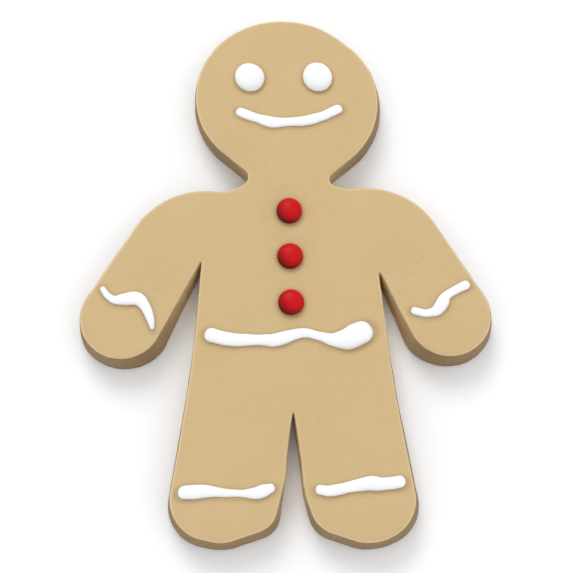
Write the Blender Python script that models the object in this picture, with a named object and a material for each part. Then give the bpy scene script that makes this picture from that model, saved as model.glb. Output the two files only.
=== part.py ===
"""Gingerbread man cookie with piped icing and three candy buttons.

Metres, +Z up. The cookie lies on its back on z = 0 with its head toward +Y. "Left" is -X, as seen
from above. The origin is under the middle of the baked outline's box.
"""
from math import acos, asin, atan2, ceil, cos, pi, sin, sqrt, tau

import bmesh
import bpy
from mathutils import Vector

MM = 0.001

# Baked body, in mm. The cutter is a usual six-inch one, 150 mm tall.
THICKNESS = 10.0
TOP_EDGE_RADIUS = 1.1
BOTTOM_EDGE_RADIUS = 0.8
WALL_OUTSET = 0.15          # the wall's upper line, outside the cutter's line
BASE_OUTSET = 0.3           # the slumped base, outside the cutter's line
FACET_DEPTH = 0.045         # how far a flat facet may cut into a round stretch

# The cutter's line runs counter-clockwise from the crown round these circles like a belt round
# pulleys. A negative radius is a notch or a hollow: the belt passes on its near side.
# Name, x, y, radius, in mm.
CUTTER_BENDS = (
    ("crown", -1.1, 49.2, 25.9),
    ("left cheek", -2.3, 51.75, 23.1),
    ("left neck", -13.1, 27.3, -2.6),
    ("left collar", -18.0, 32.9, -10.0),
    ("left shoulder", -22.4, 0.9, 22.2),
    ("left hand", -44.5, -13.8, 11.35),
    ("left armpit", -23.3, 2.1, -0.35),
    ("left waist", -323.6, 5.5, -300.0),
    ("left heel", -19.6, -63.4, 10.8),
    ("left sole", -17.0, -64.9, 9.9),
    ("left toe", -9.0, -65.4, 6.8),
    ("left shin", -19.9, -54.5, 19.9),
    ("left inside leg", 119.8, -62.4, -120.0),
    ("crotch", 2.05, -40.4, -0.35),
    ("right inside leg", -144.9, -69.6, -150.0),
    ("right shin", 32.6, -55.8, 28.0),
    ("right toe", 14.8, -64.3, 8.4),
    ("right sole", 21.6, -61.8, 12.9),
    ("right heel", 23.2, -63.1, 11.0),
    ("right waist", 326.1, 9.9, -300.0),
    ("right armpit", 25.8, -1.0, -0.35),
    ("right hand", 44.4, -13.1, 11.3),
    ("right shoulder", 22.6, 1.85, 22.0),
    ("right collar", 18.0, 33.75, -10.0),
    ("right neck", 14.3, 26.6, -2.1),
    ("right cheek", 3.5, 49.7, 22.5),
)

# Toppings sit this far above the flat top, so that no two solids touch.
TOPPING_GAP = 0.3

# Piped icing: centre line and half width along it (x, y, half width, in mm), and how high the
# bead domes up for its half width.
BEAD_RISE = 0.72
BEAD_FACETS = 9
BEAD_STEP = 1.3
ICING_LINES = {
    "smile": (
        (-12.8, 46.5, 1.2), (-11.2, 45.8, 1.4), (-9.6, 45.2, 1.35), (-7.6, 44.6, 1.25),
        (-5.2, 43.7, 1.6), (-3.0, 43.3, 1.5), (0.0, 43.5, 1.25), (5.1, 43.8, 1.4),
        (10.1, 45.2, 1.3), (14.6, 47.3, 1.35),
    ),
    "waist_line": (
        (-20.0, -18.7, 1.9), (-15.5, -19.9, 1.8), (-9.4, -20.1, 1.5), (-5.4, -20.1, 1.5),
        (-2.5, -20.1, 1.8), (4.3, -18.1, 1.3), (8.9, -19.0, 1.2), (12.4, -20.0, 1.7),
        (17.0, -19.7, 3.0), (20.3, -18.1, 3.2),
    ),
    "left_arm_cuff": (
        (-49.8, -5.7, 0.75), (-48.4, -7.6, 0.85), (-46.5, -8.8, 1.05), (-43.6, -8.6, 1.65),
        (-40.2, -8.5, 1.75), (-38.1, -10.7, 1.35), (-36.7, -14.0, 1.05), (-36.1, -16.5, 0.6),
    ),
    "right_arm_cuff": (
        (35.0, -11.9, 1.0), (37.6, -12.6, 1.0), (39.4, -12.4, 1.1), (41.0, -11.7, 1.5),
        (42.5, -9.7, 1.75), (43.4, -8.0, 1.4), (44.7, -6.9, 1.15), (46.6, -5.8, 1.1),
        (49.0, -4.6, 1.2),
    ),
    "left_leg_cuff": (
        (-26.5, -61.7, 1.75), (-24.0, -61.5, 1.85), (-21.0, -61.3, 1.6), (-17.0, -61.6, 1.15),
        (-11.7, -61.9, 0.9), (-8.0, -61.8, 1.55), (-5.8, -61.1, 1.65), (-4.0, -60.5, 1.2),
    ),
    "right_leg_cuff": (
        (9.1, -60.9, 1.25), (12.0, -61.2, 1.45), (17.5, -60.0, 1.45), (20.3, -59.5, 1.75),
        (22.5, -59.2, 1.85), (25.5, -59.4, 1.7), (29.9, -58.8, 1.6),
    ),
}

# Dots of icing and candy: x, y, half width, half length, half height of the ball, and how much of
# that half height is kept below its middle, all in mm but the last.
EYES = {
    "left_eye": (-10.2, 57.0, 4.2, 4.25, 2.2, 0.35),
    "right_eye": (9.0, 57.1, 4.15, 4.35, 2.2, 0.35),
}
BUTTONS = {
    "top_button": (1.0, 16.8, 3.55, 3.7, 2.3, 0.35),
    "middle_button": (1.2, 3.6, 3.55, 3.65, 2.3, 0.35),
    "bottom_button": (1.5, -9.6, 3.55, 3.6, 2.3, 0.35),
}
DOT_SEGMENTS = 22
DOT_RINGS = 12


def belt(circles):
    """Points of a closed belt round (name, x, y, radius) circles, counter-clockwise."""
    leaving = []
    for (_, x, y, r), (_, next_x, next_y, next_r) in zip(circles, circles[1:] + circles[:1]):
        span = Vector((next_x - x, next_y - y))
        leaving.append(atan2(span.y, span.x) - acos((r - next_r) / span.length))
    points = []
    for index, (_, x, y, r) in enumerate(circles):
        turn = (leaving[index] - leaving[index - 1]) % tau
        if r < 0:
            turn -= tau
        largest_step = 2 * acos(1 - FACET_DEPTH / abs(r))
        steps = max(1, ceil(abs(turn) / largest_step))
        for step in range(steps + 1):
            angle = leaving[index - 1] + turn * step / steps
            points.append((x + r * cos(angle), y + r * sin(angle)))
    return points


def box_centre(points):
    """Middle of the points' bounding box."""
    xs = [x for x, _ in points]
    ys = [y for _, y in points]
    return (min(xs) + max(xs)) / 2, (min(ys) + max(ys)) / 2


def edge_profile():
    """Section of the body's edge as (outset, height), from the base up to the flat top, in mm."""
    profile = []
    for step in range(3):
        angle = pi / 4 * step
        profile.append((BASE_OUTSET - BOTTOM_EDGE_RADIUS * (1 - sin(angle)),
                        BOTTOM_EDGE_RADIUS * (1 - cos(angle))))
    for step in range(4):
        angle = pi / 6 * step
        profile.append((WALL_OUTSET - TOP_EDGE_RADIUS * (1 - cos(angle)),
                        THICKNESS - TOP_EDGE_RADIUS * (1 - sin(angle))))
    return profile


def smooth_stations(knots, spacing):
    """Catmull-Rom curve through (x, y, half width) knots, as evenly spaced stations."""
    first = [2 * a - b for a, b in zip(knots[0], knots[1])]
    last = [2 * a - b for a, b in zip(knots[-1], knots[-2])]
    guides = [Vector(p) for p in (first, *knots, last)]
    stations = []
    for before, start, end, after in zip(guides, guides[1:], guides[2:], guides[3:]):
        count = max(2, round((end - start).length / spacing))
        for step in range(count):
            t = step / count
            stations.append(0.5 * (
                2 * start + (end - before) * t
                + (2 * before - 5 * start + 4 * end - after) * t * t
                + (3 * start - before - 3 * end + after) * t * t * t))
    stations.append(guides[-2])
    return stations


def rounded_end(tip, inner):
    """Stations of a half-round end beyond `tip`, seen from `inner`, from the tip outward."""
    heading = (tip - inner).to_2d().normalized()
    width = tip.z
    stations = []
    for angle in (0.45, 0.85, 1.15, 1.4):
        spot = tip.to_2d() + heading * width * sin(angle)
        stations.append(Vector((spot.x, spot.y, width * cos(angle))))
    return stations


def new_curve(name, points, closed, radii=None, flat=True):
    """Curve object with one straight-sided spline through (x, y) points in metres."""
    curve = bpy.data.curves.new(name, "CURVE")
    curve.dimensions = "2D" if flat else "3D"
    spline = curve.splines.new("POLY")
    spline.points.add(len(points) - 1)
    for index, (x, y) in enumerate(points):
        spline.points[index].co = (x, y, 0.0, 1.0)
        if radii:
            spline.points[index].radius = radii[index]
    spline.use_cyclic_u = closed
    return bpy.data.objects.new(name, curve)


def weld_seams(thing):
    """Joins a curve's caps to its sides."""
    weld = thing.modifiers.new("seams", "WELD")
    weld.merge_threshold = 1e-6


def principled(name, colour, roughness):
    """Material with a Principled shader of one colour."""
    material = bpy.data.materials.new(name)
    material.use_nodes = True
    shader = material.node_tree.nodes["Principled BSDF"]
    shader.inputs["Base Color"].default_value = (*colour, 1.0)
    shader.inputs["Roughness"].default_value = roughness
    shader.inputs["Metallic"].default_value = 0.0
    material.diffuse_color = (*colour, 1.0)
    return material


def add_guide(thing, guides):
    """Puts a profile among the guides, which are not part of the cookie."""
    thing.hide_render = True
    thing.display_type = "WIRE"
    guides.objects.link(thing)


def make_body(name, middle, parts, guides, material):
    """The baked slab: the cutter's outline with the edge's section carried round it."""
    outline = [((x - middle[0]) * MM, (y - middle[1]) * MM) for x, y in belt(CUTTER_BENDS)]
    body = new_curve(name, outline, closed=True)
    # A bevel section's own x points into the outline.
    section = [(-outset * MM, height * MM) for outset, height in edge_profile()]
    profile = new_curve("edge_section", section, closed=False)
    add_guide(profile, guides)
    body.data.fill_mode = "BOTH"
    body.data.bevel_mode = "OBJECT"
    body.data.bevel_object = profile
    body.data.materials.append(material)
    weld_seams(body)
    parts.objects.link(body)


def make_bead_section(guides):
    """Section of a piped bead of half width 1: a flat foot under a full dome."""
    rim = []
    for step in range(BEAD_FACETS + 1):
        angle = pi * step / BEAD_FACETS
        rim.append((-cos(angle), BEAD_RISE * sqrt(sin(angle))))
    section = new_curve("bead_section", rim, closed=True)
    add_guide(section, guides)
    return section


def make_bead(name, knots, middle, section, parts, material):
    """One piped line: the bead's section along its centre line, as wide as the knots say."""
    line = smooth_stations(knots, BEAD_STEP)
    start = rounded_end(line[0], line[1])
    end = rounded_end(line[-1], line[-2])
    line = start[::-1] + line + end
    points = [((s.x - middle[0]) * MM, (s.y - middle[1]) * MM) for s in line]
    bead = new_curve(name, points, closed=False, radii=[s.z * MM for s in line], flat=False)
    bead.data.bevel_mode = "OBJECT"
    bead.data.bevel_object = section
    bead.data.use_fill_caps = True
    bead.data.twist_mode = "Z_UP"
    bead.data.materials.append(material)
    bead.location.z = (THICKNESS + TOPPING_GAP) * MM
    weld_seams(bead)
    parts.objects.link(bead)


def make_dot(name, sizes, middle, parts, material):
    """A flattened ball whose underside is cut flat."""
    x, y, half_width, half_length, half_height, kept = sizes
    mesh = bpy.data.meshes.new(name)
    bm = bmesh.new()
    bmesh.ops.create_uvsphere(bm, u_segments=DOT_SEGMENTS, v_segments=DOT_RINGS, radius=MM)
    bmesh.ops.scale(bm, vec=(half_width, half_length, half_height), verts=bm.verts)
    foot = -half_height * kept * MM
    cut = bmesh.ops.bisect_plane(
        bm, geom=bm.verts[:] + bm.edges[:] + bm.faces[:], plane_co=(0, 0, foot),
        plane_no=(0, 0, 1), clear_inner=True)
    rim = [edge for edge in cut["geom_cut"] if isinstance(edge, bmesh.types.BMEdge)]
    bmesh.ops.edgeloop_fill(bm, edges=rim)
    bmesh.ops.recalc_face_normals(bm, faces=bm.faces)
    bm.to_mesh(mesh)
    bm.free()
    mesh.shade_smooth()
    mesh.materials.append(material)
    dot = bpy.data.objects.new(name, mesh)
    dot.location = ((x - middle[0]) * MM, (y - middle[1]) * MM,
                    (THICKNESS + TOPPING_GAP) * MM - foot)
    parts.objects.link(dot)


def main():
    """Builds the cookie and its toppings, each a separate object."""
    for thing in list(bpy.data.objects):
        bpy.data.objects.remove(thing)
    parts = bpy.data.collections.new("gingerbread_man_cookie")
    guides = bpy.data.collections.new("sections")
    bpy.context.scene.collection.children.link(parts)
    bpy.context.scene.collection.children.link(guides)

    baked = principled("baked_gingerbread", (0.665, 0.485, 0.25), 0.85)
    icing = principled("white_icing", (0.89, 0.89, 0.90), 0.45)
    candy = principled("red_candy", (0.52, 0.012, 0.018), 0.35)

    middle = box_centre(belt(CUTTER_BENDS))
    make_body("cookie", middle, parts, guides, baked)
    section = make_bead_section(guides)
    for name, knots in ICING_LINES.items():
        make_bead(name, knots, middle, section, parts, icing)
    for name, sizes in EYES.items():
        make_dot(name, sizes, middle, parts, icing)
    for name, sizes in BUTTONS.items():
        make_dot(name, sizes, middle, parts, candy)


main()
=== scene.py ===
"""Looks of a gingerbread man cookie: the baked body, its piped icing and its candy buttons.

Sizes in the classes are in millimetres, and each mesh is put into the frame in metres.
"""
import logging
import math
from collections.abc import Iterator
from dataclasses import dataclass, field
from enum import Enum
from typing import Any

import bpy
import numpy as np
from bpy.types import ID, Material, Node, NodeSocket, Object
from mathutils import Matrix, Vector
from mathutils.geometry import delaunay_2d_cdt


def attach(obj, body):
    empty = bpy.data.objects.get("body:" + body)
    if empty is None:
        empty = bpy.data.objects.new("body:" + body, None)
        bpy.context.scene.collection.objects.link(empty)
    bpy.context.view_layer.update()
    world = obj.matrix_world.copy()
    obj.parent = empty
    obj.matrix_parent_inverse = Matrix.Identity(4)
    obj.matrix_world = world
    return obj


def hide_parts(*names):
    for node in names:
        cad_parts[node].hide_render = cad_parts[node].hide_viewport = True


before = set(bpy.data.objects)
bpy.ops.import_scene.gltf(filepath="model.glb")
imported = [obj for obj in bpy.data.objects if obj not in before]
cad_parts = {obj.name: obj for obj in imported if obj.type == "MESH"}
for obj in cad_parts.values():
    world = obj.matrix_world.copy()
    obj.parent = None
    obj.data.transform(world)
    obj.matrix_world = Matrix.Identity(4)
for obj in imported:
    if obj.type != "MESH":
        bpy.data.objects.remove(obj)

log = logging.getLogger("gingerbread")
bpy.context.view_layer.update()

Array = np.ndarray
Colour = tuple[float, float, float, float]
Triple = tuple[float, float, float]

MM = 0.001
FACE_HEIGHT = 10.0              # height of the cookie's flat face, in millimetres
NOISE_HEIGHTS = 8192            # random heights that a noise field picks from, a power of two
NOISE_KEYS = (73856093, 19349663, 83492791)
BLOCK_ROWS = 4096               # rows compared with many others at once, to spare memory


class Slot(Enum):
    """Names of the material slots."""

    BAKED = "baked_gingerbread"
    ICING = "white_icing"
    CANDY = "red_candy"


# ---- shader expressions


def linear(red: int, green: int, blue: int) -> Colour:
    """Turns a display colour, 0 to 255 a channel, into the light it stands for.

    Args:
        red, green, blue: the display colour's channels.

    Returns:
        The linear colour with full opacity.
    """
    share = np.array([red, green, blue]) / 255.0
    light = np.where(share <= 0.04045, share / 12.92, ((share + 0.055) / 1.055) ** 2.4)
    return (*light.tolist(), 1.0)


class Signal:
    """A shader socket that adds Math nodes when it is used in arithmetic."""

    def __init__(self, sheet: "Sheet", socket: NodeSocket) -> None:
        """Wraps an output socket of one sheet's node tree."""
        self.sheet = sheet
        self.socket = socket

    def math(self, operation: str, other: "Signal | float") -> "Signal":
        """Adds one Math node.

        Args:
            operation: the Math node's operation.
            other: its second value, after this signal.

        Returns:
            The node's result.
        """
        return self.sheet.add("ShaderNodeMath", {"operation": operation}, {0: self, 1: other})[0]

    def __add__(self, other: "Signal | float") -> "Signal":
        """Sum."""
        return self.math("ADD", other)

    __radd__ = __add__

    def __mul__(self, other: "Signal | float") -> "Signal":
        """Product."""
        return self.math("MULTIPLY", other)

    __rmul__ = __mul__

    def __sub__(self, other: "Signal | float") -> "Signal":
        """Difference."""
        return self.math("SUBTRACT", other)

    def __rsub__(self, other: float) -> "Signal":
        """Difference from a number."""
        return (self * -1.0) + other

    def __truediv__(self, other: "Signal | float") -> "Signal":
        """Quotient."""
        return self.math("DIVIDE", other)

    def between(self, low: float, high: float) -> "Signal":
        """Rises smoothly from 0 to 1 as this signal goes from `low` to `high`."""
        settings = {"interpolation_type": "SMOOTHSTEP"}
        sockets = {"Value": self, "From Min": low, "From Max": high}
        return self.sheet.add("ShaderNodeMapRange", settings, sockets)["Result"]


class Outputs:
    """The outputs of one node, by name or by number."""

    def __init__(self, sheet: "Sheet", node: Node) -> None:
        """Keeps the node and its sheet."""
        self.sheet = sheet
        self.node = node

    def __getitem__(self, key: str | int) -> Signal:
        """One output as a signal."""
        return Signal(self.sheet, self.node.outputs[key])


class Sheet:
    """One material's node tree, written as expressions."""

    def __init__(self, name: str) -> None:
        """Starts an empty material whose shader is a Principled BSDF."""
        self.material = bpy.data.materials.new(name)
        self.material.use_nodes = True
        self.tree = self.material.node_tree
        self.shader = self.tree.nodes["Principled BSDF"]
        self.place = self.add("ShaderNodeTexCoord", {}, {})["Object"]

    def add(self, kind: str, settings: dict[str, Any], sockets: dict[str | int, Any]) -> Outputs:
        """Adds a node of any type.

        Args:
            kind: the node's type name.
            settings: its properties, which are set first.
            sockets: numbers, vectors, colours or signals for its inputs.

        Returns:
            The node's outputs.
        """
        node = self.tree.nodes.new(kind)
        for key, value in settings.items():
            setattr(node, key, value)
        for key, value in sockets.items():
            self.plug(node.inputs[key], value)
        return Outputs(self, node)

    def plug(self, socket: NodeSocket, value: Any) -> None:
        """Links a signal to a socket, or sets a constant on it."""
        if isinstance(value, Signal):
            self.tree.links.new(value.socket, socket)
        else:
            socket.default_value = value

    def noise(self, size: float, detail: float = 2.0, roughness: float = 0.5) -> Signal:
        """Soft random pattern from 0 to 1.

        Args:
            size: rough size of one patch, in millimetres.
            detail: how many finer layers are added.
            roughness: how strong the finer layers are.

        Returns:
            The pattern's value.
        """
        sockets = {"Vector": self.place, "Scale": 1.0 / (size * MM), "Detail": detail,
                   "Roughness": roughness}
        return self.add("ShaderNodeTexNoise", {}, sockets)["Fac"]

    def grains(self, spacing: float, radius: float, share: float) -> Signal:
        """Small round flecks strewn at random.

        Each cell of a random cell pattern may hold one fleck at its middle, and a random number of
        the cell's own decides whether it does.

        Args:
            spacing: mean distance between the cells' middles, in millimetres.
            radius: a fleck's radius as a share of that distance.
            share: the part of the cells that hold a fleck.

        Returns:
            1 on a fleck and 0 elsewhere, with a soft rim.
        """
        cells = self.add("ShaderNodeTexVoronoi", {"feature": "F1"},
                         {"Vector": self.place, "Scale": 1.0 / (spacing * MM)})
        chosen = self.add("ShaderNodeSeparateColor", {}, {"Color": cells["Color"]})["Red"]
        body = 1.0 - cells["Distance"].between(radius * 0.6, radius)
        return body * (1.0 - chosen.between(share - 0.02, share))

    def colour(self, factor: Signal, under: Signal | Colour, over: Signal | Colour) -> Signal:
        """Lays one colour over another through a Mix node.

        Args:
            factor: how much of `over` is laid on.
            under: the colour below.
            over: the colour above.

        Returns:
            The mixed colour.
        """
        return self.add("ShaderNodeMix", {"data_type": "RGBA"}, {0: factor, 6: under, 7: over})[2]

    def attribute(self, name: str) -> Signal:
        """A number that the mesh carries at each vertex."""
        return self.add("ShaderNodeAttribute", {"attribute_name": name}, {})["Fac"]

    def height(self) -> Signal:
        """Height above the table, in millimetres."""
        return self.add("ShaderNodeSeparateXYZ", {}, {"Vector": self.place})["Z"] / MM

    def relief(self, *layers: tuple[Signal, float]) -> None:
        """Chains Bump nodes into the shader's Normal.

        Args:
            layers: pairs of a height from 0 to 1 and how many millimetres that height stands for.
        """
        below: dict[str, Any] = {}
        for height, depth in layers:
            sockets = {"Height": height, "Distance": depth * MM, "Strength": 1.0, **below}
            below = {"Normal": self.add("ShaderNodeBump", {}, sockets)["Normal"]}
        self.plug(self.shader.inputs["Normal"], below["Normal"])

    def set(self, **sockets: Any) -> None:
        """Sets or links the shader's inputs, an underscore standing for a space."""
        for name, value in sockets.items():
            self.plug(self.shader.inputs[name.replace("_", " ")], value)


# ---- finishes


@dataclass(frozen=True)
class BakedFinish:
    """Dry, fine-crumbed gingerbread: tan face; sides browner, partly baked colour, partly painted
    shade.
    """

    face: Colour = linear(201, 175, 129)
    patch: Colour = linear(199, 172, 125)
    cloud: Colour = linear(193, 165, 119)
    # painted light: paler tan on the rounded edge, offsetting the shade that falls there
    edge: Colour = linear(219, 193, 150)
    # partly the side's baked brown, partly painted shade: the face's tan darkened
    side: Colour = linear(142, 118, 83)
    streak: Colour = linear(131, 106, 71)
    crumb: Colour = linear(170, 144, 106)
    base: Colour = linear(104, 81, 51)
    # painted light: paler side deep in the notches, offsetting their shade
    nook: Colour = linear(212, 184, 140)
    spice: Colour = linear(154, 121, 80)
    sugar: Colour = linear(221, 200, 160)
    # painted shadow round the icing
    painted_shadow: Colour = linear(157, 130, 90)
    patch_size: float = 14.0
    mottle_size: float = 2.4
    crumb_size: float = 0.55
    crumb_depth: float = 0.05
    base_height: float = 2.6
    roughness: float = 0.86

    def material(self) -> Material:
        """Builds the material.

        The mesh's steepness value runs from 0 on the face to 1 on the side. The tan is painted paler
        toward the rounded edge, painted light that offsets the shade there, and turns to brown at one
        height of it, which the mottle makes wander a little. The brown is partly the side's own baked
        colour and partly painted shade. Up to `base_height` the side is darker, from the hot tray. Deep
        in the notches, which its `nook` value marks, the side is painted paler, painted light that
        offsets the shade there, and round the icing the face is painted darker, a painted shadow that
        reaches further on the toppings' lower side. Soft patches, flecks of spice and grains of sugar
        lie in the tan, and mottle and pale crumbs in both colours.
        """
        sheet = Sheet("gingerbread")
        patches = sheet.noise(self.patch_size, 3.0)
        mottle = sheet.noise(self.mottle_size, 4.0, 0.6)
        crumb = sheet.noise(self.crumb_size, 4.0, 0.65)
        steepness = sheet.attribute("steepness") + (mottle - 0.5) * 0.05
        tan = sheet.colour(patches.between(0.3, 0.75), self.face, self.patch)
        tan = sheet.colour(mottle.between(0.52, 0.8) * 0.4, tan, self.cloud)
        tan = sheet.colour(crumb.between(0.55, 0.8) * 0.25, tan, self.sugar)
        tan = sheet.colour(sheet.grains(1.5, 0.17, 0.24) * 0.3, tan, self.spice)
        tan = sheet.colour(sheet.grains(0.9, 0.16, 0.22) * 0.3, tan, self.sugar)
        # painted shadow round the toppings, reaching further below them
        tan = sheet.colour(sheet.attribute("painted_shadow") * 0.45, tan, self.painted_shadow)
        # painted light: the tan made paler on the rounded edge, offsetting its shade
        tan = sheet.colour(steepness.between(0.1, 0.5) * 0.9, tan, self.edge)
        scorch = 1.0 - (sheet.height() + mottle * 0.6).between(0.4, self.base_height)
        brown = sheet.colour(scorch * 0.8, self.side, self.base)
        # painted light: the side made paler deep in the notches, offsetting the shade there
        brown = sheet.colour(sheet.attribute("nook").between(0.0, 0.7), brown, self.nook)
        brown = sheet.colour(crumb.between(0.4, 0.75) * 0.35, brown, self.crumb)
        brown = sheet.colour(mottle.between(0.5, 0.8) * 0.3, brown, self.streak)
        # steep faces turn brown: partly the side's baked colour, partly painted shade
        colour = sheet.colour(steepness.between(0.63, 0.70), tan, brown)
        sheet.set(Base_Color=colour, Roughness=self.roughness, Specular_IOR_Level=0.3)
        sheet.relief((mottle, self.crumb_depth * 2.0), (crumb, self.crumb_depth))
        return sheet.material


@dataclass(frozen=True)
class IcingFinish:
    """White royal icing, set hard with a satin skin."""

    white: Colour = linear(242, 242, 243)
    cloud: Colour = linear(238, 238, 241)
    # painted shade: grey round the icing's foot
    foot_shade: Colour = linear(210, 209, 210)
    foot_shade_height: float = 0.8
    roughness: float = 0.42

    def material(self) -> Material:
        """Builds the material.

        White and barely clouded, with a faint sugar grain in its skin. Up to a set height above
        the cookie's face the icing is painted a little grey, painted shade round the bead's foot.
        """
        sheet = Sheet("royal_icing")
        cloud = sheet.noise(3.0, 2.0)
        grain = sheet.noise(0.35, 2.0)
        # mask of the painted shade round the bead's foot
        full = sheet.height().between(FACE_HEIGHT + 0.1, FACE_HEIGHT + self.foot_shade_height)
        colour = sheet.colour(cloud.between(0.35, 0.8) * 0.5, self.white, self.cloud)
        colour = sheet.colour(full, self.foot_shade, colour)
        sheet.set(Base_Color=colour, Roughness=self.roughness + (grain - 0.5) * 0.12,
                  Subsurface_Weight=0.25, Subsurface_Radius=(1.0, 0.95, 0.9),
                  Subsurface_Scale=0.0012)
        sheet.relief((cloud, 0.05), (grain, 0.006))
        return sheet.material


@dataclass(frozen=True)
class CandyFinish:
    """Red sugar shell with a soft shine."""

    red: Colour = linear(195, 10, 17)
    cloud: Colour = linear(170, 12, 18)
    # painted shade: darker red on the side away from the light
    deep: Colour = linear(84, 5, 5)
    roughness: float = 0.4

    def material(self) -> Material:
        """Builds the material.

        The red deepens as the mesh's `deep` value rises to 1, on the side away from the light: painted
        shade. A faint mottle and the grain of the shell lie over it.
        """
        sheet = Sheet("red_sugar_shell")
        mottle = sheet.noise(0.9, 3.0, 0.6)
        grain = sheet.noise(0.28, 2.0)
        colour = sheet.colour(mottle.between(0.45, 0.8) * 0.3, self.red, self.cloud)
        # painted shade: the red darkened on the side away from the light
        colour = sheet.colour(sheet.attribute("deep").between(0.1, 0.95), colour, self.deep)
        sheet.set(Base_Color=colour, Roughness=self.roughness + (grain - 0.5) * 0.15,
                  Specular_IOR_Level=0.14)
        sheet.relief((mottle, 0.03), (grain, 0.012))
        return sheet.material


@dataclass(frozen=True)
class TableFinish:
    """Plain pale table top."""

    white: Colour = linear(250, 250, 250)

    def material(self) -> Material:
        """Builds the material."""
        sheet = Sheet("pale_table")
        sheet.set(Base_Color=self.white, Roughness=0.9, Specular_IOR_Level=0.1)
        return sheet.material


# ---- numbers and meshes


def blocks(rows: int) -> Iterator[slice]:
    """Slices that split many rows into blocks of `BLOCK_ROWS`."""
    return (slice(start, start + BLOCK_ROWS) for start in range(0, rows, BLOCK_ROWS))


def raised(spots: Array, height: float = 0.0) -> Array:
    """Flat positions with the same height added to each."""
    return np.pad(spots, ((0, 0), (0, 1)), constant_values=height)


def lattice_noise(points: Array, cell: float, seed: int) -> Array:
    """Smooth random field.

    Random heights stand at the corners of a cubic lattice, and between the corners they are
    blended with the weight 3t^2 - 2t^3 along each axis.

    Args:
        points: positions, one row each, in millimetres.
        cell: side of a lattice cell, in millimetres.
        seed: which field.

    Returns:
        A value from -1 to 1 for each point.
    """
    heights = np.random.default_rng(seed).uniform(-1.0, 1.0, NOISE_HEIGHTS)
    scaled = points / cell
    corner = np.floor(scaled).astype(np.int64)
    share = scaled - corner
    share = share * share * (3.0 - 2.0 * share)
    total = np.zeros(len(points))
    for step in np.ndindex(2, 2, 2):
        key = np.bitwise_xor.reduce((corner + step) * NOISE_KEYS, axis=1) & (NOISE_HEIGHTS - 1)
        total += np.prod(np.where(step, share, 1.0 - share), axis=1) * heights[key]
    return total


def nearest(points: Array, spots: Array) -> tuple[Array, Array]:
    """Nearest of many spots to each point.

    Args:
        points: positions, one row each.
        spots: the positions to choose from.

    Returns:
        The nearest spot's number and its distance, for each point.
    """
    chosen = np.empty(len(points), dtype=np.int64)
    gap = np.empty(len(points))
    for block in blocks(len(points)):
        squares = ((points[block, None, :] - spots[None, :, :]) ** 2).sum(axis=2)
        chosen[block] = squares.argmin(axis=1)
        gap[block] = np.sqrt(squares.min(axis=1))
    return chosen, gap


def add_object(name: str, data: ID) -> Object:
    """Wraps a mesh, a light or a camera in an object, and links it to the scene."""
    thing = bpy.data.objects.new(name, data)
    bpy.context.scene.collection.objects.link(thing)
    return thing


def mesh_piece(name: str, vertices: Array, quads: Array, triangles: Array) -> Object:
    """Puts a surface into a new object.

    Args:
        name: the piece's name.
        vertices: positions in millimetres, one row each.
        quads: four vertex numbers a row.
        triangles: three vertex numbers a row.

    Returns:
        The linked object, shaded smooth.
    """
    mesh = bpy.data.meshes.new(name)
    corners = np.concatenate([quads.ravel(), triangles.ravel()]).astype(np.int32)
    starts = np.concatenate([np.arange(len(quads)) * 4,
                             len(quads) * 4 + np.arange(len(triangles)) * 3]).astype(np.int32)
    mesh.vertices.add(len(vertices))
    mesh.vertices.foreach_set("co", (vertices * MM).astype(np.float32).ravel())
    mesh.loops.add(len(corners))
    mesh.loops.foreach_set("vertex_index", corners)
    mesh.polygons.add(len(starts))
    mesh.polygons.foreach_set("loop_start", starts)
    mesh.update(calc_edges=True)
    mesh.validate()
    mesh.shade_smooth()
    return add_object(name, mesh)


def mark(piece: Object, name: str, values: Array) -> None:
    """Stores a number at each vertex of a piece.

    Args:
        piece: the piece.
        name: what the number is called.
        values: one for each vertex.
    """
    holder = piece.data.attributes.new(name, "FLOAT", "POINT")
    holder.data.foreach_set("value", values.astype(np.float32))


def ring_quads(rings: int, around: int) -> Array:
    """Quads between closed rings that follow each other.

    Args:
        rings: how many rings there are.
        around: how many vertices each ring has.

    Returns:
        Four vertex numbers a row, facing out where a ring runs counter-clockwise seen from the end
        the rings run towards.
    """
    ring, spot = np.meshgrid(np.arange(rings - 1), np.arange(around), indexing="ij")
    here = ring * around
    after = (spot + 1) % around
    quads = np.stack([here + spot, here + after, here + around + after, here + around + spot], -1)
    return quads.reshape(-1, 4)


def closed_skin(rings: Array) -> tuple[Array, Array, Array]:
    """Skin through closed rings, shut at both ends by a fan round the end ring's middle.

    Args:
        rings: positions as (ring, vertex, axis).

    Returns:
        Vertices, quads and triangles.
    """
    count, around, _ = rings.shape
    vertices = np.concatenate([rings.reshape(-1, 3), rings[:1].mean(axis=1), rings[-1:].mean(axis=1)])
    spot = np.arange(around)
    after = (spot + 1) % around
    last = (count - 1) * around
    first_fan = np.stack([after, spot, np.full(around, count * around)], -1)
    last_fan = np.stack([last + spot, last + after, np.full(around, count * around + 1)], -1)
    return vertices, ring_quads(count, around), np.concatenate([first_fan, last_fan])


# ---- the cookie's body


@dataclass(frozen=True)
class Bend:
    """A circle that the cutter's line runs round.

    A negative radius is a notch or a hollow. The dough's foot spreads beyond the line by
    `foot_in` where the line comes onto the circle and by `foot_out` where it leaves it, and draws
    in where they are negative.
    """

    name: str
    x: float
    y: float
    radius: float
    foot_in: float
    foot_out: float


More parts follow.
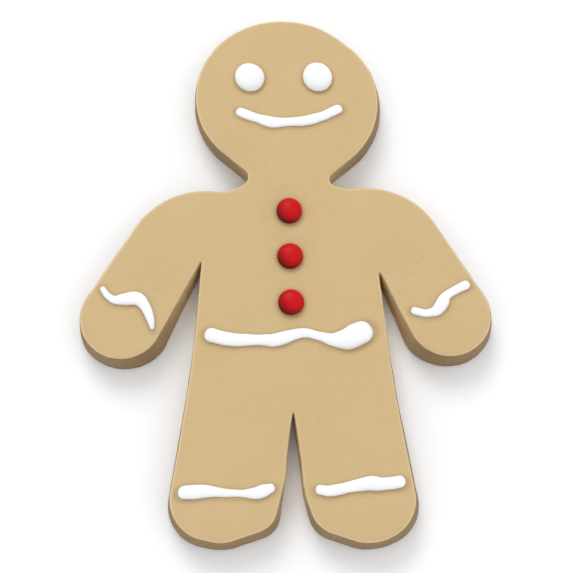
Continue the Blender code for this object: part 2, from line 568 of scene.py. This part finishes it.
@dataclass(frozen=True)
class CutterLine:
    """The cutter's closed line: a belt that runs counter-clockwise round its bends."""

    spacing: float = 0.49
    turn_step: float = 0.2
    bend_steps: int = 97
    foot_blend: float = 4.0
    blend_steps: int = 17
    bends: tuple[Bend, ...] = (
        Bend("crown", -1.1, 49.2, 25.9, 0.6, 0.4),
        Bend("left cheek", -2.3, 51.75, 23.1, 0.9, -0.8),
        Bend("left neck", -13.1, 27.3, -2.6, -0.3, -0.4),
        Bend("left collar", -18.0, 32.9, -10.0, -0.2, 0.1),
        Bend("left shoulder", -22.4, 0.9, 22.2, 0.2, 0.2),
        Bend("left hand", -44.5, -13.8, 11.35, -0.2, 0.8),
        Bend("left armpit", -23.3, 2.1, -0.35, -0.3, -0.4),
        Bend("left waist", -323.6, 5.5, -300.0, -0.1, 0.1),
        Bend("left heel", -19.6, -63.4, 10.8, 0.3, 0.65),
        Bend("left sole", -17.0, -64.9, 9.9, 0.35, 0.5),
        Bend("left toe", -9.0, -65.4, 6.8, 0.6, 0.25),
        Bend("left shin", -19.9, -54.5, 19.9, -0.55, -1.2),
        Bend("left inside leg", 119.8, -62.4, -120.0, -1.15, -0.85),
        Bend("crotch", 2.05, -40.4, -0.35, -0.8, -0.3),
        Bend("right inside leg", -144.9, -69.6, -150.0, -0.35, -0.45),
        Bend("right shin", 32.6, -55.8, 28.0, -0.5, -0.25),
        Bend("right toe", 14.8, -64.3, 8.4, -0.2, 0.25),
        Bend("right sole", 21.6, -61.8, 12.9, 0.35, 0.3),
        Bend("right heel", 23.2, -63.1, 11.0, 0.75, 0.7),
        Bend("right waist", 326.1, 9.9, -300.0, 0.3, -0.2),
        Bend("right armpit", 25.8, -1.0, -0.35, -0.4, 0.0),
        Bend("right hand", 44.4, -13.1, 11.3, 0.75, 0.1),
        Bend("right shoulder", 22.6, 1.85, 22.0, 0.2, 0.2),
        Bend("right collar", 18.0, 33.75, -10.0, 0.15, -0.1),
        Bend("right neck", 14.3, 26.6, -2.1, -0.4, -0.6),
        Bend("right cheek", 3.5, 49.7, 22.5, -0.7, 1.5),
    )

    def trace(self) -> tuple[Array, Array, Array]:
        """Walks the line.

        The straight run from one bend to the next leaves both at the same outward angle, whose
        cosine to the line between their centres is the difference of their radii over that
        line's length. The stations are even in the way walked plus the angle turned, so a tight
        notch has as many as it needs. The foot's spread blends from each end of a bend to the
        next, and is then evened over `foot_blend` to either side, as dough has no steps.

        Returns:
            Points and outward normals, one row each, and the foot's spread.
        """
        centre = np.array([(bend.x, bend.y) for bend in self.bends])
        radius = np.array([bend.radius for bend in self.bends])
        span = np.roll(centre, -1, axis=0) - centre
        lean = np.arccos((radius - np.roll(radius, -1)) / np.hypot(*span.T))
        leaving = np.arctan2(span[:, 1], span[:, 0]) - lean
        arriving = np.roll(leaving, 1)
        turn = (leaving - arriving) % math.tau
        turn = np.where(radius < 0, turn - math.tau, turn)
        share = np.linspace(0.0, 1.0, self.bend_steps)
        angle = arriving[:, None] + turn[:, None] * share
        normal = np.stack([np.cos(angle), np.sin(angle)], -1)
        points = (centre[:, None, :] + radius[:, None, None] * normal).reshape(-1, 2)
        points = np.concatenate([points, points[:1]])
        angle = np.unwrap(np.append(angle.ravel(), angle[0, 0]))
        walked = np.append(0.0, np.cumsum(np.hypot(*np.diff(points, axis=0).T)))
        turned = np.append(0.0, np.cumsum(np.abs(np.diff(angle))))
        measure = walked / self.spacing + turned / self.turn_step
        stations = np.linspace(0.0, measure[-1], round(measure[-1]), endpoint=False)
        at = np.interp(stations, measure, walked)
        angle = np.interp(at, walked, angle)
        line = np.stack([np.interp(at, walked, points[:, axis]) for axis in (0, 1)], -1)
        ends = walked[:-1].reshape(len(radius), -1)[:, [0, -1]].ravel()
        spread = np.ravel([(bend.foot_in, bend.foot_out) for bend in self.bends])
        window = np.linspace(-self.foot_blend, self.foot_blend, self.blend_steps)
        foot = np.interp(at[:, None] + window, ends, spread, period=walked[-1]).mean(axis=1)
        return line - self.middle(), np.stack([np.cos(angle), np.sin(angle)], -1), foot

    def middle(self) -> Array:
        """Middle of the line's box, whose sides the crown, the hands and the feet set."""
        x, y, radius = np.array([(b.x, b.y, b.radius) for b in self.bends if 0 < b.radius < 20]).T
        crown = self.bends[0]
        bottom = (y - radius).min()
        return np.array([(x - radius).min() + (x + radius).max(), bottom + crown.y + crown.radius]) / 2

    def notch_room(self, line: Array) -> Array:
        """How far the dough may spread into the tight notches without closing them.

        Args:
            line: points on the cutter's line.

        Returns:
            The room at each point: six tenths of the notch's radius at its tip, and more with the
            distance from it.
        """
        notches = [bend for bend in self.bends if -1.0 < bend.radius < 0]
        centre = np.array([(bend.x, bend.y) for bend in notches]) - self.middle()
        tip = np.array([-bend.radius for bend in notches])
        away = np.hypot(*(line[:, None, :] - centre[None]).transpose(2, 0, 1)) - tip
        return (0.6 * tip + 0.06 * np.maximum(0.0, away)).min(axis=1)


@dataclass
class BakedBody:
    """The baked slab: rolled flat, cut out, and spread and puffed a little in the oven."""

    line: CutterLine = field(default_factory=CutterLine)
    finish: BakedFinish = field(default_factory=BakedFinish)
    wall_outset: float = 0.13
    top_radius: float = 1.1
    top_turns: tuple[float, ...] = (0.0, 7.0, 14.0, 21.0, 28.0, 38.0, 50.0, 63.0, 76.0, 90.0)
    bottom_radius: float = 0.8
    bottom_steps: int = 6
    wall_steps: int = 15
    face_inset: float = 0.45
    side_spread: float = 0.7
    spread_wander: float = 0.12
    bulge: float = 0.12
    face_spacing: float = 0.52
    under_spacing: float = 2.2
    nudge: float = 0.16
    puff: float = 0.22
    puff_width: float = 5.0
    swells: tuple[tuple[float, float, int], ...] = (
        (0.10, 15.0, 1), (0.05, 6.0, 2), (0.030, 2.4, 3), (0.016, 1.2, 4))
    strata: tuple[tuple[float, float, int], ...] = ((0.085, 4.2, 6), (0.06, 1.9, 7))
    stretch: float = 3.4
    split_size: float = 6.5
    split_width: float = 0.07
    split_depth: float = 0.15
    pores: int = 460
    pore_field: tuple[float, float] = (57.0, 76.0)
    pore_width: tuple[float, float] = (0.28, 0.75)
    pore_depths: tuple[float, float] = (0.05, 0.16)
    nook_width: float = 12.0
    nook_shares: tuple[float, ...] = (0.06, 0.12, 0.25, 0.4, 0.55, 0.7, 0.85)
    nook_calm: float = 0.8
    calm_reach: float = 2.0
    # spread and lean of the painted shadow round the toppings
    painted_shadow_reach: float = 0.75
    painted_shadow_lean: tuple[float, float] = (0.05, -0.35)

    def edge_section(self) -> tuple[Array, Array, Array, Array]:
        """Section of the edge, from the underside round to the face.

        A small quarter circle at the foot, a wall that leans in by the dough's spread with a
        sine bulge at half height, a larger quarter circle at the face and a last step `face_inset`
        further in.

        Returns:
            For each step the outset, how much of the spread it takes, the height, and how far its
            normal points up, in radians.
        """
        foot = np.linspace(-math.pi / 2, 0.0, self.bottom_steps)
        up = np.linspace(0.0, 1.0, self.wall_steps + 2)[1:-1]
        face = np.radians(self.top_turns)
        wall_height = FACE_HEIGHT - self.top_radius - self.bottom_radius
        outset = np.concatenate([
            self.bottom_radius * (np.cos(foot) - 1.0),
            self.bulge * np.sin(math.pi * up),
            self.top_radius * (np.cos(face) - 1.0),
            [-self.top_radius - self.face_inset]])
        spread = np.concatenate([np.ones(len(foot)), 1.0 - up, np.zeros(len(face) + 1)])
        height = np.concatenate([
            self.bottom_radius * (1.0 + np.sin(foot)),
            self.bottom_radius + wall_height * up,
            FACE_HEIGHT - self.top_radius * (1.0 - np.sin(face)),
            [FACE_HEIGHT]])
        tilt = np.concatenate([foot, np.zeros(len(up)), face, [math.pi / 2]])
        return outset + self.wall_outset, spread, height, tilt

    def edge_rings(self, line: Array, normal: Array, foot: Array) -> tuple[Array, Array]:
        """Carries the edge's section round the cutter's line.

        The foot spreads as the bends say, further by `side_spread` times the square of the
        normal's x, and wanders at random, as far as the notches leave room.

        Args:
            line: points on the line.
            normal: its outward normals.
            foot: how far the foot spreads at the bends.

        Returns:
            Positions and normals as (ring, vertex, axis).
        """
        outset, spread, height, tilt = self.edge_section()
        wander = lattice_noise(raised(line), 9.0, 5) * self.spread_wander
        reach = foot + self.side_spread * normal[:, 0] ** 2 + wander
        reach = np.minimum(reach, self.line.notch_room(line)) - self.wall_outset
        out = outset[:, None] + spread[:, None] * reach
        rings = np.empty((*out.shape, 3))
        rings[..., :2] = line + out[..., None] * normal
        rings[..., 2] = height[:, None]
        facing = np.empty_like(rings)
        facing[..., :2] = np.cos(tilt)[:, None, None] * normal
        facing[..., 2] = np.sin(tilt)[:, None]
        return rings, facing

    def face_fill(self, rim: Array, normal: Array, numbers: range, first: int,
                  spacing: float) -> tuple[Array, Array]:
        """Fills a flat face inside its rim with even triangles.

        Points of a hexagonal lattice that lie inside the rim, each nudged at random, are joined
        to the rim by Delaunay triangles.

        Args:
            rim: the rim's points.
            normal: the rim's outward normals.
            numbers: the rim's vertex numbers.
            first: number that the first new vertex gets.
            spacing: distance between the lattice's points.

        Returns:
            The new vertices, and all triangles facing up.
        """
        rim, height = rim[:, :2], rim[0, 2]
        low, high = rim.min(axis=0), rim.max(axis=0)
        columns = np.arange(low[0], high[0], spacing)
        rows = np.arange(low[1], high[1], spacing * math.sqrt(0.75))
        x, y = np.meshgrid(columns, rows)
        x[1::2] += spacing / 2
        spots = np.stack([x.ravel(), y.ravel()], -1)
        spots += np.random.default_rng(11).uniform(-self.nudge, self.nudge, spots.shape) * spacing
        closest, gap = nearest(spots, rim)
        inside = ((spots - rim[closest]) * normal[closest]).sum(axis=1) < 0
        spots = spots[inside & (gap > 0.6 * spacing)]
        corners = [Vector(spot) for spot in np.concatenate([rim, spots]).tolist()]
        result = delaunay_2d_cdt(corners, [], [list(range(len(rim)))], 1, 1e-6)
        origin = np.array([sources[0] for sources in result[3]])
        every = np.concatenate([numbers, first + np.arange(len(spots))])
        return raised(spots, height), every[origin[np.array(result[2])]]

    def relief(self, points: Array, facing: Array) -> Array:
        """Unevenness of the baked surface along its normal.

        Broad, middle and fine random swells; on the face shallow round pores; on the side crumb
        pressed flat into strata and a few ragged splits, where the noise passes near zero, which
        fade toward the foot and the face. Swells and strata are each a depth, the size of one
        patch and the seed of a noise field.

        Args:
            points: positions.
            facing: normals.

        Returns:
            How far each point moves out along its normal.
        """
        up = np.clip(facing[:, 2], 0.0, 1.0)
        side = 1.0 - np.abs(facing[:, 2])
        swell = sum(depth * lattice_noise(points, size, seed) for depth, size, seed in self.swells)
        fade = np.sin(math.pi * np.clip(points[:, 2] / FACE_HEIGHT, 0.0, 1.0))
        pressed = points * (1.0, 1.0, self.stretch)
        strata = sum(depth * lattice_noise(pressed, size, seed) for depth, size, seed in self.strata)
        split = np.abs(lattice_noise(pressed, self.split_size, 8)) / self.split_width
        split = np.clip(1.0 - split, 0.0, 1.0) * np.clip(lattice_noise(points, 8.0, 9) * 2.0, 0.0, 1.0)
        dents = up * self.pore_depth(points)
        return swell + side * (strata - self.split_depth * split * fade) - dents

    def pore_depth(self, points: Array) -> Array:
        """Depth of the face's pores: round dents with a bell-shaped section, strewn at random.

        Args:
            points: positions.

        Returns:
            The depth at each point.
        """
        chance = np.random.default_rng(21)
        reach = np.array(self.pore_field)
        centre = chance.uniform(-reach, reach, (self.pores, 2))
        width = chance.uniform(*self.pore_width, self.pores)
        depth = chance.uniform(*self.pore_depths, self.pores)
        total = np.zeros(len(points))
        for block in blocks(len(points)):
            gap = ((points[block, None, :2] - centre[None]) ** 2).sum(axis=2)
            total[block] = (depth * np.exp(-gap / width ** 2)).sum(axis=1)
        return total

    def build(self, toppings: Array) -> Object:
        """Builds the whole skin as one closed mesh.

        The face puffs up with the distance from its edge. The unevenness fades out toward the
        foot's rim, so that the underside stays flat, and is calmer deep in a notch.

        Args:
            toppings: middles and half widths of the spots that the toppings cover.

        Returns:
            The piece. Its steepness value runs from 0 where it faces up to 1 on the wall, its `nook`
            value from 0 in the open to 1 deep in a notch, and its painted shadow value, painted shade
            round the toppings, is 1 at the toppings.
        """
        line, normal, foot = self.line.trace()
        rings, facing = self.edge_rings(line, normal, foot)
        count, around, _ = rings.shape
        quads = ring_quads(count, around)
        first = count * around
        face, face_triangles = self.face_fill(
            rings[-1], normal, range(first - around, first), first, self.face_spacing)
        under, under_triangles = self.face_fill(
            rings[0], normal, range(around), first + len(face), self.under_spacing)
        vertices = np.concatenate([rings.reshape(-1, 3), face, under])
        normals = np.concatenate([
            facing.reshape(-1, 3), np.tile([0.0, 0.0, 1.0], (len(face), 1)),
            np.tile([0.0, 0.0, -1.0], (len(under), 1))])
        closest, gap = nearest(vertices[:, :2], line)
        up = np.clip(normals[:, 2], 0.0, 1.0) ** 2
        lift = self.puff * (1.0 - np.exp(-(gap / self.puff_width) ** 2)) * up
        keep = np.where(normals[:, 2] < 0, np.clip(vertices[:, 2] / self.bottom_radius, 0, 1), 1.0)
        nook = self.nook(line, normal)[closest]
        keep *= 1.0 - self.nook_calm * np.clip(nook * 2.0 - 1.0, 0.0, 1.0) * (gap < self.calm_reach)
        vertices = vertices + normals * (self.relief(vertices, normals) * keep)[:, None]
        vertices[:, 2] += lift
        vertices[:, 2] = np.maximum(vertices[:, 2], 0.0)
        piece = mesh_piece("baked_cookie", vertices, quads,
                           np.concatenate([face_triangles, under_triangles[:, ::-1]]))
        mark(piece, "steepness", 1.0 - np.arcsin(np.clip(normals[:, 2], 0.0, 1.0)) / (math.pi / 2))
        mark(piece, "nook", nook)
        # painted shadow round the toppings
        mark(piece, "painted_shadow", self.painted_shadow(vertices, toppings))
        return piece

    def painted_shadow(self, vertices: Array, toppings: Array) -> Array:
        """Painted shadow on the crumb round the toppings.

        Args:
            vertices: the body's positions.
            toppings: middles and half widths of the spots that the toppings cover.

        Returns:
            1 at a topping's rim, fading within a millimetre of it, and further on its lower side.
        """
        total = np.zeros(len(vertices))
        crept = vertices[:, :2] - self.painted_shadow_lean
        for block in blocks(len(vertices)):
            away = np.hypot(*(crept[block, None] - toppings[None, :, :2]).transpose(2, 0, 1))
            beyond = np.maximum(0.0, (away - toppings[None, :, 2]).min(axis=1))
            total[block] = np.exp(-(beyond / self.painted_shadow_reach) ** 2)
        return total * (vertices[:, 2] > 0.5 * FACE_HEIGHT)

    def nook(self, line: Array, normal: Array) -> Array:
        """How narrow the gap is that each point of the line looks into.

        In the open, a spot straight out of the line is as far from the line as it was moved, and
        inside a notch it is nearer. Spots at several shares of `nook_width` are tried, and the
        narrowest gap counts most.

        Args:
            line: points on the cutter's line.
            normal: its outward normals.

        Returns:
            0 in the open, up to 1 deep in a notch.
        """
        depth = np.zeros(len(line))
        for share in self.nook_shares:
            step = share * self.nook_width
            _, away = nearest(line + step * normal, line)
            depth = np.maximum(depth, (1.0 - away / step) * (1.0 - share))
        return depth

    def dress(self, piece: Object) -> None:
        """Gives the piece its finish and puts it in the CAD body's place."""
        dress_piece(piece, self.finish.material(), "cookie")


def dress_piece(piece: Object, material: Material, node: str) -> None:
    """Finishes a piece and lets it stand for a CAD node.

    Args:
        piece: the visible piece.
        material: its material.
        node: the CAD node that it replaces.
    """
    piece.data.materials.append(material)
    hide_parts(node)
    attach(piece, "root")


# ---- the toppings


def piece_name(topping: "IcingLine | Dot") -> str:
    """Name of a topping's piece, such as icing_smile."""
    return f"{topping.slot.name.lower()}_{topping.node}"


@dataclass
class IcingLine:
    """A piped line of icing: a bead through knots, each a place and the half width there."""

    node: str
    knots: tuple[Triple, ...]
    seed: int
    slot: Slot = Slot.ICING
    run_out: float = 0.08
    rise: float = 0.72
    lip: float = 0.05
    sink: float = 0.35
    buried: tuple[float, ...] = (-0.94, 0.0, 0.94)
    width_wander: float = 0.07
    height_wander: float = 0.10
    around: int = 27
    tip_steps: int = 12
    knot_steps: int = 24
    spacing: float = 0.3

    def centre_line(self) -> tuple[Array, Array, Array]:
        """Smooth line through the knots, with round ends.

        A Catmull-Rom curve, with the half widths grown by the icing's `run_out`, goes on straight
        at each end by the half width there. It is walked at even steps, and at ever shorter ones
        to the tips. At each end the half width shrinks as a half circle, the root of 1 - t^2, with
        t the share of the way to the tip.

        Returns:
            Positions, half widths and headings, one row each.
        """
        knots = np.array(self.knots)
        knots += (*-CutterLine().middle(), self.run_out)
        guides = np.concatenate([2 * knots[:1] - knots[1:2], knots, 2 * knots[-1:] - knots[-2:-1]])
        t = np.linspace(0.0, 1.0, self.knot_steps, endpoint=False)[:, None, None]
        before, start, end, after = guides[:-3], guides[1:-2], guides[2:-1], guides[3:]
        curve = 0.5 * (2 * start + (end - before) * t
                       + (2 * before - 5 * start + 4 * end - after) * t ** 2
                       + (3 * start - before - 3 * end + after) * t ** 3)
        curve = np.concatenate([curve.transpose(1, 0, 2).reshape(-1, 3), knots[-1:]])
        first, last = curve[0], curve[-1]
        tips = []
        for end, inner in ((first, curve[3]), (last, curve[-4])):
            away = end[:2] - inner[:2]
            tips.append([*(end[:2] + away / np.hypot(*away) * end[2]), end[2]])
        curve = np.concatenate([tips[:1], curve, tips[1:]])
        walked = np.concatenate([[0.0], np.cumsum(np.hypot(*np.diff(curve[:, :2], axis=0).T))])
        length = walked[-1]
        ease = 1.0 - np.cos(np.linspace(0.05, math.pi / 2, self.tip_steps))
        middle = np.arange(first[2], length - last[2], self.spacing)[1:]
        at = np.concatenate([first[2] * ease, middle, (length - last[2] * ease)[::-1]])
        line = np.stack([np.interp(at, walked, curve[:, axis]) for axis in range(3)], -1)
        to_tip = np.maximum(1.0 - at / first[2], 1.0 - (length - at) / last[2]).clip(0.0, 1.0)
        width = line[:, 2] * np.sqrt(1.0 - to_tip ** 2)
        heading = np.gradient(line[:, :2], at, axis=0)
        heading /= np.hypot(*heading.T)[:, None]
        return line[:, :2], width, heading

    def build(self) -> Object:
        """Carries the bead's section along the line.

        Across the line the section runs from side to side as a cosine, and its height is the
        root of the sine, which stands steeply at the foot and is full on top. Its foot stands on
        a low lip, and the rows at the `buried` shares of the half width close it below the face.
        Smooth noise makes the width and the height wander.

        Returns:
            The bead.
        """
        spots, width, heading = self.centre_line()
        side = np.stack([-heading[:, 1], heading[:, 0]], -1)
        probe = raised(spots)
        left, right = (width * (1.0 + self.width_wander * lattice_noise(probe, 2.6, seed))
                       for seed in (self.seed, self.seed + 1))
        wander = 1.0 + self.height_wander * lattice_noise(probe, 3.4, self.seed + 2)
        height = width * self.rise * wander
        angle = np.linspace(0.0, math.pi, self.around)
        below = np.zeros(len(self.buried))
        across = np.concatenate([np.cos(angle), self.buried])
        lift = np.concatenate([np.sqrt(np.sin(angle)), below])
        sunk = np.concatenate([0.0 * angle, below - self.sink])
        reach = np.where(across > 0, left[:, None], right[:, None]) * across
        rings = np.empty((*reach.shape, 3))
        rings[..., :2] = spots[:, None] + reach[..., None] * side[:, None]
        rings[..., 2] = FACE_HEIGHT + height[:, None] * lift + sunk + self.lip
        vertices, quads, triangles = closed_skin(rings)
        swell = 0.02 * lattice_noise(vertices, 1.6, self.seed + 3)
        vertices[:, 2] += swell * (vertices[:, 2] > FACE_HEIGHT + 2.0 * self.lip)
        return mesh_piece(piece_name(self), vertices, quads[:, ::-1], triangles[:, ::-1])


@dataclass
class Dot:
    """A round topping: a flattened ball that sits in the face."""

    node: str
    slot: Slot
    x: float
    y: float
    half_width: float
    half_length: float
    half_height: float
    seed: int
    skew: float = 0.0
    kept: float = 0.35
    sink: float = 0.3
    lumpiness: float = 0.012
    lump_size: float = 2.2
    lump_start: float = 40.0
    # where the light comes from; the candy's painted shade grows away from it
    lit_side: Triple = (0.45, 0.35, 0.82)
    deep_reach: float = 1.6
    around: int = 72
    rows: int = 34
    top_angle: float = 88.5

    def build(self) -> Object:
        """Turns the ball's section round its upright axis.

        The radius is the cosine and the height the sine of the angle above the ball's middle,
        which stands `kept` of the half height above the face. The radius grows by the skew's share
        toward the lower right and the upper left and shrinks by it between them, and smooth noise
        pushes the skin in and out a little.

        Returns:
            The dot. Its `deep` value, for the painted shade, grows with the angle from the lit side.
        """
        middle = CutterLine().middle()
        lowest = -math.asin(min(1.0, self.kept + self.sink / self.half_height))
        tilt = np.linspace(lowest, math.radians(self.top_angle), self.rows)[:, None]
        turn = np.linspace(0.0, math.tau, self.around, endpoint=False)[None, :]
        ball = np.stack([np.cos(tilt) * np.cos(turn), np.cos(tilt) * np.sin(turn),
                         np.sin(tilt) + 0.0 * turn], -1)
        size = np.array([self.half_width, self.half_length, self.half_height])
        shift = np.array([self.x - middle[0], self.y - middle[1],
                          FACE_HEIGHT + self.kept * self.half_height])
        probe = (ball * size).reshape(-1, 3) + self.lump_start
        lump = 1.0 + self.lumpiness * lattice_noise(probe, self.lump_size, self.seed)
        skewed = 1.0 - self.skew * np.sin(2.0 * turn)
        size = size * np.stack([skewed, skewed, np.ones_like(turn)], -1)
        rings = ball * lump.reshape(ball.shape[:2])[..., None] * size + shift
        piece = mesh_piece(piece_name(self), *closed_skin(rings))
        deep = (1.0 - ball @ np.array(self.lit_side)).ravel() / self.deep_reach
        at_foot, at_top = 1.0, 0.1
        mark(piece, "deep", np.append(deep, (at_foot, at_top)))
        return piece


@dataclass
class Toppings:
    """All that is put on the baked body."""

    icing: IcingFinish = field(default_factory=IcingFinish)
    candy: CandyFinish = field(default_factory=CandyFinish)
    lines: tuple[IcingLine, ...] = (
        IcingLine("smile", (
            (-12.8, 46.5, 1.2), (-11.2, 45.8, 1.4), (-9.6, 45.2, 1.35), (-7.6, 44.6, 1.25),
            (-5.2, 43.7, 1.6), (-3.0, 43.3, 1.5), (0.0, 43.5, 1.25), (5.1, 43.8, 1.4),
            (10.1, 45.2, 1.3), (14.6, 47.3, 1.35)), 101),
        IcingLine("waist_line", (
            (-20.0, -18.7, 1.9), (-15.5, -19.9, 1.8), (-9.4, -20.1, 1.5), (-5.4, -20.1, 1.5),
            (-2.5, -20.1, 1.8), (4.3, -18.1, 1.3), (8.9, -19.0, 1.2), (12.4, -20.0, 1.7),
            (17.0, -19.7, 3.0), (20.3, -18.1, 3.2)), 111),
        IcingLine("left_arm_cuff", (
            (-49.8, -5.7, 0.75), (-48.4, -7.6, 0.85), (-46.5, -8.8, 1.05), (-43.6, -8.6, 1.65),
            (-40.2, -8.5, 1.75), (-38.1, -10.7, 1.35), (-36.7, -14.0, 1.05), (-36.1, -16.5, 0.6)), 121),
        IcingLine("right_arm_cuff", (
            (35.0, -11.9, 1.0), (37.6, -12.6, 1.0), (39.4, -12.4, 1.1), (41.0, -11.7, 1.5),
            (42.5, -9.7, 1.75), (43.4, -8.0, 1.4), (44.7, -6.9, 1.15), (46.6, -5.8, 1.1),
            (49.0, -4.6, 1.2)), 131),
        IcingLine("left_leg_cuff", (
            (-26.5, -61.7, 1.75), (-24.0, -61.5, 1.85), (-21.0, -61.3, 1.6), (-17.0, -61.6, 1.15),
            (-11.7, -61.9, 0.9), (-8.0, -61.8, 1.55), (-5.8, -61.1, 1.65), (-4.0, -60.5, 1.2)), 141),
        IcingLine("right_leg_cuff", (
            (9.1, -60.9, 1.25), (12.0, -61.2, 1.45), (17.5, -60.0, 1.45), (20.3, -59.5, 1.75),
            (22.5, -59.2, 1.85), (25.5, -59.4, 1.7), (29.9, -58.8, 1.6)), 151),
    )
    dots: tuple[Dot, ...] = (
        Dot("left_eye", Slot.ICING, -10.2, 57.0, 4.2, 4.25, 2.2, 161, 0.035),
        Dot("right_eye", Slot.ICING, 9.0, 57.1, 4.15, 4.35, 2.2, 171, 0.03),
        Dot("top_button", Slot.CANDY, 1.0, 16.8, 3.55, 3.7, 2.3, 181),
        Dot("middle_button", Slot.CANDY, 1.2, 3.6, 3.55, 3.65, 2.3, 191),
        Dot("bottom_button", Slot.CANDY, 1.5, -9.6, 3.55, 3.6, 2.3, 201),
    )

    def covered(self) -> Array:
        """Where the toppings lie.

        Returns:
            Middles and half widths of round spots that cover them, one row each.
        """
        spots = np.array([[dot.x, dot.y, dot.half_width] for dot in self.dots])
        spots -= (*CutterLine().middle(), 0.0)
        for line in self.lines:
            centre, width, _ = line.centre_line()
            spots = np.concatenate([spots, np.column_stack([centre, width])[::2]])
        return spots

    def build(self) -> list[Object]:
        """Builds and dresses every topping.

        Returns:
            The pieces.
        """
        materials = {Slot.ICING: self.icing.material(), Slot.CANDY: self.candy.material()}
        pieces = []
        for topping in (*self.lines, *self.dots):
            piece = topping.build()
            dress_piece(piece, materials[topping.slot], topping.node)
            pieces.append(piece)
        return pieces


# ---- the studio


@dataclass(frozen=True)
class Lamp:
    """A square soft light that faces the cookie: place and side in metres, power in watts."""

    name: str
    place: Triple
    side: float
    power: float
    colour: Triple

    def hang(self) -> None:
        """Hangs the light."""
        lamp = bpy.data.lights.new(self.name, "AREA")
        lamp.shape = "SQUARE"
        lamp.size = self.side
        lamp.energy = self.power
        lamp.color = self.colour
        holder = add_object(self.name, lamp)
        holder.location = self.place
        holder.rotation_euler = (-Vector(self.place)).to_track_quat("-Z", "Y").to_euler()


@dataclass
class Studio:
    """Pale table, soft lights and the camera."""

    table_half: float = 4000.0
    table_drop: float = 0.02
    tilt: float = 17.5
    distance: float = 455.5
    aim: Triple = (0.3, -5.03, 10.0)
    lens: float = 105.0
    lamps: tuple[Lamp, ...] = (
        Lamp("key", (-0.4, 1.45, 1.65), 1.1, 17.5, (1.0, 0.99, 0.97)),
        Lamp("fill", (0.9, -0.5, 2.0), 1.8, 4.5, (0.97, 0.98, 1.0)),
    )
    sky: Colour = (0.97, 0.98, 1.0, 1.0)
    sky_strength: float = 0.85

    def table(self) -> None:
        """Lays the table a hair under the cookie."""
        corners = np.array([(-1, -1), (1, -1), (1, 1), (-1, 1)]) * self.table_half
        top = mesh_piece("table", raised(corners, -self.table_drop), np.array([[0, 1, 2, 3]]),
                         np.empty((0, 3), dtype=int))
        top.data.materials.append(TableFinish().material())

    def lights(self) -> None:
        """Hangs the key light beyond the head and the fill above, and sets a pale sky."""
        for lamp in self.lamps:
            lamp.hang()
        world = bpy.data.worlds.new("pale_sky")
        world.use_nodes = True
        background = world.node_tree.nodes["Background"]
        background.inputs["Color"].default_value = self.sky
        background.inputs["Strength"].default_value = self.sky_strength
        bpy.context.scene.world = world

    def camera(self) -> None:
        """Sets the camera above the cookie, leaning toward its feet."""
        lens = bpy.data.cameras.new("camera")
        lens.lens = self.lens
        lens.sensor_width = 36.0
        lens.clip_start = 0.01
        lens.clip_end = 20.0
        holder = add_object("camera", lens)
        lean = math.radians(self.tilt)
        offset = np.array([0.0, -math.sin(lean), math.cos(lean)]) * self.distance
        holder.location = ((np.array(self.aim) + offset) * MM).tolist()
        holder.rotation_euler = (lean, 0.0, 0.0)
        bpy.context.scene.camera = holder

    def build(self) -> None:
        """Sets up the whole studio."""
        self.table()
        self.lights()
        self.camera()
        bpy.context.scene.view_settings.view_transform = "Standard"


def main() -> None:
    """Builds the studio, the baked body and the toppings, and notes the sizes."""
    logging.basicConfig(level=logging.INFO, format="%(name)s: %(message)s")
    Studio().build()
    toppings = Toppings()
    body = BakedBody()
    cookie = body.build(toppings.covered())
    body.dress(cookie)
    for piece in (cookie, *toppings.build()):
        size = ", ".join(f"{side / MM:.1f}" for side in piece.dimensions)
        log.info("%s: %d faces, %s mm", piece.name, len(piece.data.polygons), size)


if __name__ == "__main__":
    main()
